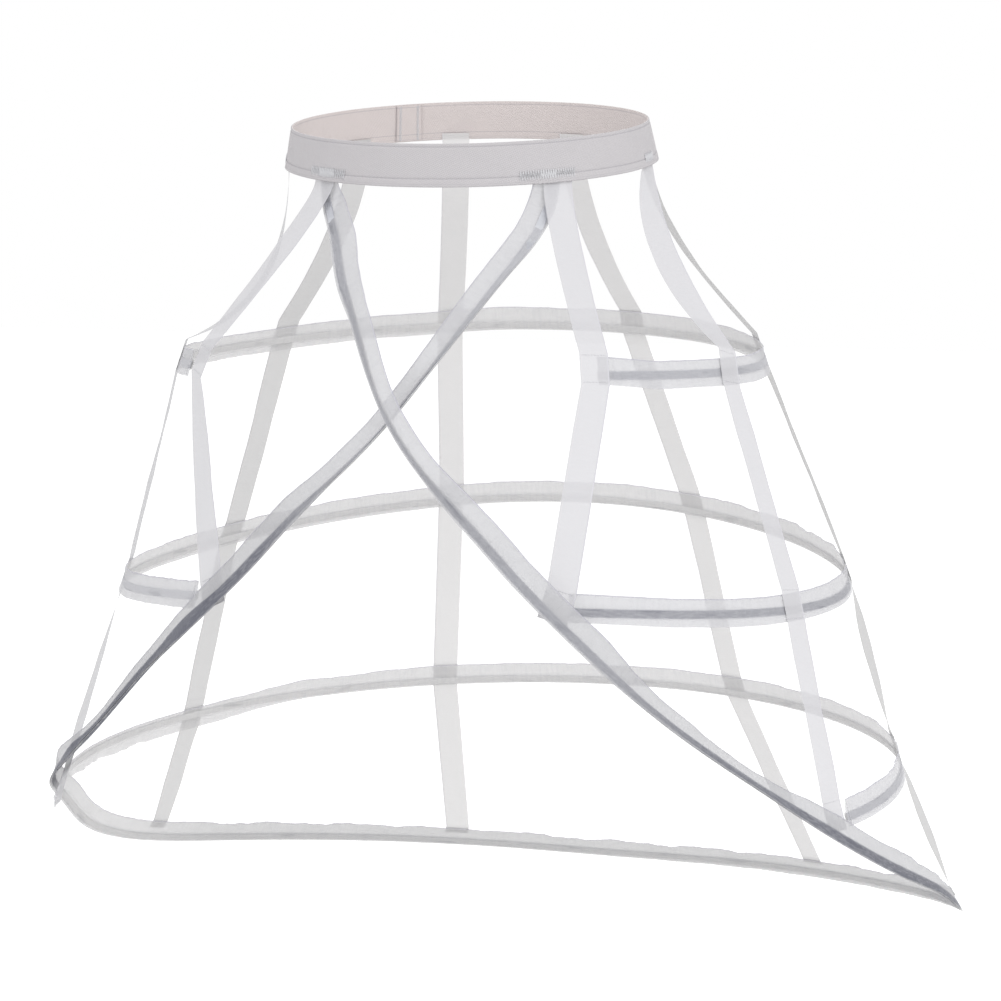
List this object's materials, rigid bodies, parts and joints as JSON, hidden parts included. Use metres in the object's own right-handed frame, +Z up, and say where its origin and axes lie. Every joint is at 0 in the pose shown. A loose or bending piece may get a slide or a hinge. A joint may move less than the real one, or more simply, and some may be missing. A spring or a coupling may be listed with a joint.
{
  "type": "hoop petticoat frame",
  "caption": "Open-front hoop petticoat frame of flat tapes and boned hoops hung from an elastic waistband, with crossing front hoops that wrap round to the hem.",
  "frame": {"origin": "middle of the waistband's loop", "axes": "+Z up along the wearer's body, -Y towards the open front, +X towards the wearer's left"},
  "size_m": [0.6768, 0.627, 0.6575],
  "materials": {
    "elastic": "woven elastic, matt off-white",
    "tape": "thin translucent white ribbon",
    "casing": "folded translucent white ribbon",
    "bone": "flat hoop steel"
  },
  "bodies": {
    "root": {"waistband": "elastic", "front_tape_left": "tape", "front_tape_right": "tape", "side_tape_left": "tape", "side_tape_right": "tape", "rear_side_tape_left": "tape", "rear_side_tape_right": "tape", "back_tape_left": "tape", "back_tape_right": "tape", "upper_hoop_casing": "casing", "upper_hoop_steel": "bone", "middle_hoop_casing": "casing", "middle_hoop_steel": "bone", "lower_hoop_casing": "casing", "lower_hoop_steel": "bone", "wrap_hoop_casing": "casing", "wrap_hoop_steel": "bone"}
  },
  "joints": []
}
